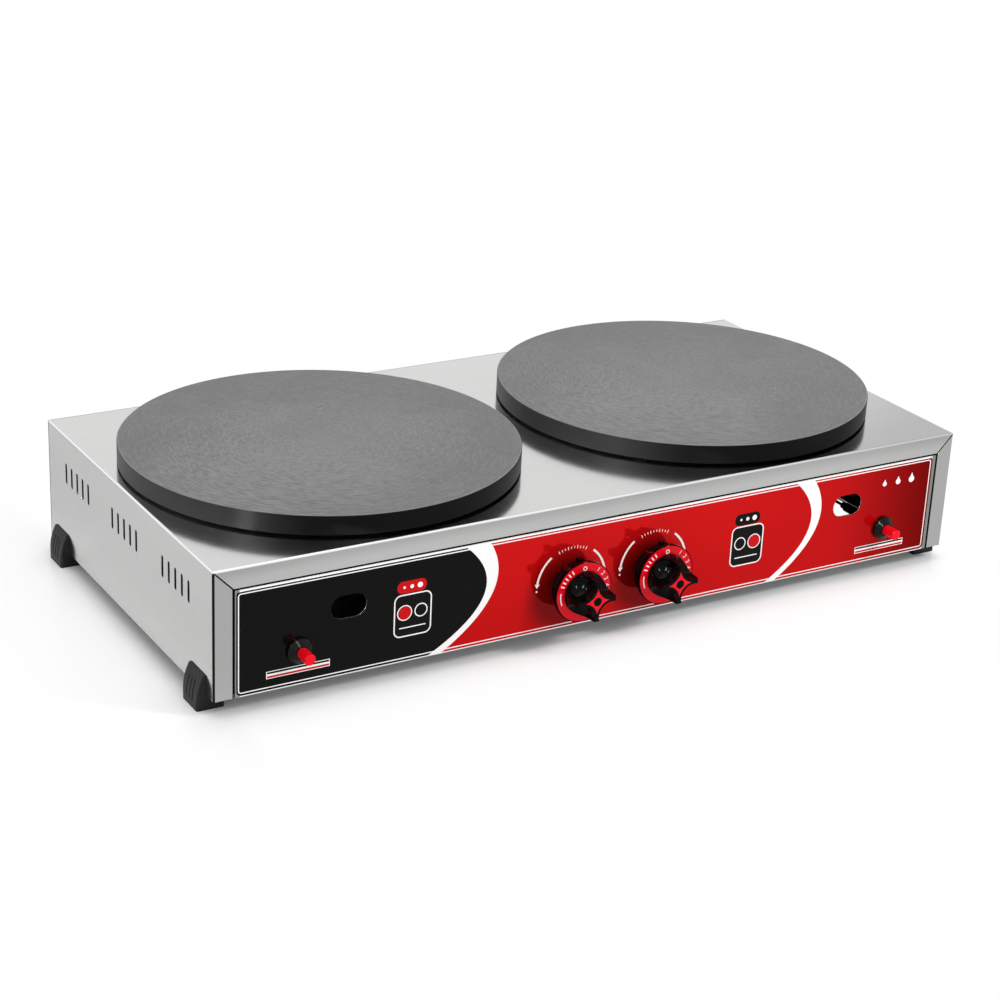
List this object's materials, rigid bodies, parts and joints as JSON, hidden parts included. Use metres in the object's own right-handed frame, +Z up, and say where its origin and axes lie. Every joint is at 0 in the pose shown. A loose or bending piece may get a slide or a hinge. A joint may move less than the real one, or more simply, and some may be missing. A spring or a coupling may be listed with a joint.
{
  "type": "countertop double crepe maker",
  "caption": "Countertop gas crepe maker: round cast-iron griddles on a folded steel casing, with a control knob, push igniter and flame window for each side.",
  "frame": {"origin": "centre of the bounding box at the level of the feet's soles", "axes": "+X along the width, to the right as the user faces the knobs; +Y from the front to the back; +Z up"},
  "size_m": [0.867, 0.494, 0.167],
  "materials": {
    "casing_steel": "satin",
    "panel_steel": "satin",
    "galvanised_steel": "matte",
    "zinc_steel": "satin",
    "burner_steel": "matte",
    "griddle_iron": "matte",
    "label": "gloss",
    "knob_black": "gloss",
    "knob_red": "satin",
    "red_button": "satin",
    "igniter_plastic": "satin",
    "foot_plastic": "matte",
    "brass": "satin",
    "copper": "satin",
    "ceramic": "matte",
    "wire": "matte"
  },
  "bodies": {
    "casing": {"casing_shell": "casing_steel", "back_panel": "casing_steel", "base_plate": "galvanised_steel", "control_panel": "panel_steel", "front_label": "label", "plate_left": "griddle_iron", "plate_right": "griddle_iron", "plate_pins_left": "zinc_steel", "plate_pins_right": "zinc_steel", "burner_left": "burner_steel", "burner_right": "burner_steel", "mixing_tube_left": "burner_steel", "mixing_tube_right": "burner_steel", "burner_bracket_left": "galvanised_steel", "burner_bracket_right": "galvanised_steel", "injector_left": "brass", "injector_right": "brass", "feed_pipe_left": "copper", "feed_pipe_right": "copper", "valve_body_left": "brass", "valve_body_right": "brass", "gas_rail": "galvanised_steel", "inlet_pipe": "copper", "inlet_union": "brass", "inlet_nut": "brass", "sensor_bracket_left": "galvanised_steel", "sensor_bracket_right": "galvanised_steel", "electrode_left": "ceramic", "electrode_right": "ceramic", "thermocouple_left": "copper", "thermocouple_right": "copper", "ignition_wire_left": "wire", "ignition_wire_right": "wire", "piezo_unit_left": "igniter_plastic", "piezo_unit_right": "igniter_plastic", "igniter_bezel_left": "igniter_plastic", "igniter_bezel_right": "igniter_plastic", "igniter_nut_left": "zinc_steel", "igniter_nut_right": "zinc_steel", "knob_collar_left": "knob_black", "knob_collar_right": "knob_black", "foot_front_left": "foot_plastic", "foot_front_right": "foot_plastic", "foot_back_left": "foot_plastic", "foot_back_right": "foot_plastic", "foot_screws": "zinc_steel", "base_screws": "zinc_steel", "back_screws": "zinc_steel"},
    "plug_left": {"valve_plug_left": "brass"},
    "knob_left": {"valve_stem_left": "zinc_steel", "knob_body_left": "knob_black", "knob_ring_left": "knob_red", "knob_star_left": "knob_red"},
    "button_left": {"igniter_button_left": "red_button"},
    "plug_right": {"valve_plug_right": "brass"},
    "knob_right": {"valve_stem_right": "zinc_steel", "knob_body_right": "knob_black", "knob_ring_right": "knob_red", "knob_star_right": "knob_red"},
    "button_right": {"igniter_button_right": "red_button"}
  },
  "joints": [
    {"name": "knob_left_turn", "type": "hinge", "parent": "casing", "child": "plug_left", "pos_m": [-0.0478, -0.198, 0.0625], "axis": [0, -1, 0], "range_deg": [0, 180]},
    {"name": "knob_left_push", "type": "slide", "parent": "plug_left", "child": "knob_left", "axis": [0, 1, 0], "range_m": [0, 0.003], "stiffness_N_per_m": 1200, "springref_m": -0.002},
    {"name": "button_left_push", "type": "slide", "parent": "casing", "child": "button_left", "axis": [0, 1, 0], "range_m": [0, 0.007], "stiffness_N_per_m": 900, "springref_m": -0.002},
    {"name": "knob_right_turn", "type": "hinge", "parent": "casing", "child": "plug_right", "pos_m": [0.0478, -0.198, 0.0625], "axis": [0, -1, 0], "range_deg": [0, 180]},
    {"name": "knob_right_push", "type": "slide", "parent": "plug_right", "child": "knob_right", "axis": [0, 1, 0], "range_m": [0, 0.003], "stiffness_N_per_m": 1200, "springref_m": -0.002},
    {"name": "button_right_push", "type": "slide", "parent": "casing", "child": "button_right", "axis": [0, 1, 0], "range_m": [0, 0.007], "stiffness_N_per_m": 900, "springref_m": -0.002}
  ]
}
